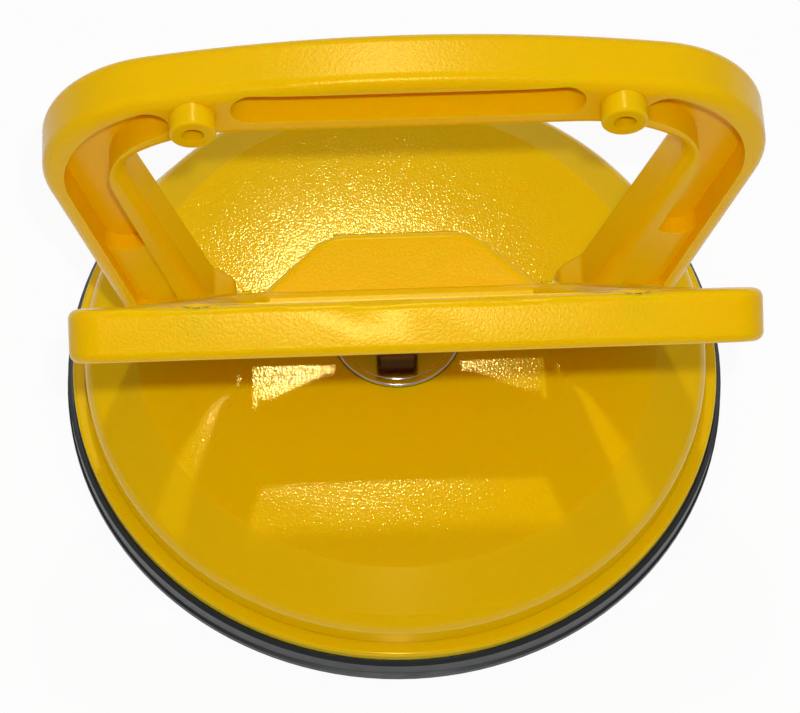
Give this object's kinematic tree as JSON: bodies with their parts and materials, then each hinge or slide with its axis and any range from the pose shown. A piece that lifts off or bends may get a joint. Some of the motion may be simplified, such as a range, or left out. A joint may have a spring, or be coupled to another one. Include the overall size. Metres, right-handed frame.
{
  "type": "glass suction cup lifter",
  "caption": "Hand vacuum lifter: one round rubber cup under a moulded body, with two loop handles on a shared axle whose cam pulls the cup up to grip smooth panels.",
  "frame": {"origin": "centre of the rubber pad's sealing face, where the cup rests on the panel", "axes": "+Z away from the panel, X along the axle, -Y the front, to which the front handle leans"},
  "size_m": [0.1181, 0.118, 0.1046],
  "materials": {
    "pad_rubber": "black moulded rubber, satin",
    "plated_steel": "zinc plated steel",
    "bush_acetal": "natural acetal",
    "bright_disc": "polished plated steel",
    "body_abs": "yellow ABS, gloss skirt and fine spark-eroded grain on the top",
    "handle_abs": "yellow ABS with a fine spark-eroded grain"
  },
  "bodies": {
    "base": {"body_shell": "body_abs", "rubber_pad": "pad_rubber", "guide_bush": "bush_acetal", "wear_disc": "bright_disc"},
    "lift": {"lift_stud": "plated_steel", "pad_plate": "plated_steel", "stud_washer": "plated_steel", "stud_nut": "plated_steel", "axle_pin": "plated_steel", "left_pin_clip": "plated_steel", "right_pin_clip": "plated_steel", "left_thrust_washer": "bush_acetal", "right_thrust_washer": "bush_acetal"},
    "front_handle": {"front_handle": "handle_abs"},
    "back_handle": {"back_handle": "handle_abs"}
  },
  "joints": [
    {"name": "lift_slide", "type": "slide", "parent": "base", "child": "lift", "axis": [0, 0, 1], "range_m": [-0.0017, 0.00066], "deforming": ["rubber_pad"]},
    {"name": "front_handle_hinge", "type": "hinge", "parent": "lift", "child": "front_handle", "pos_m": [0, 0, 0.02562], "axis": [-1, 0, 0], "range_deg": [-58.5, 22.5]},
    {"name": "back_handle_hinge", "type": "hinge", "parent": "lift", "child": "back_handle", "pos_m": [0, 0, 0.02562], "axis": [-1, 0, 0], "range_deg": [0, 85]}
  ],
  "couplings": [
    {"joint": "lift_slide", "follows": "front_handle_hinge", "m_per_rad": 0.001655}
  ]
}
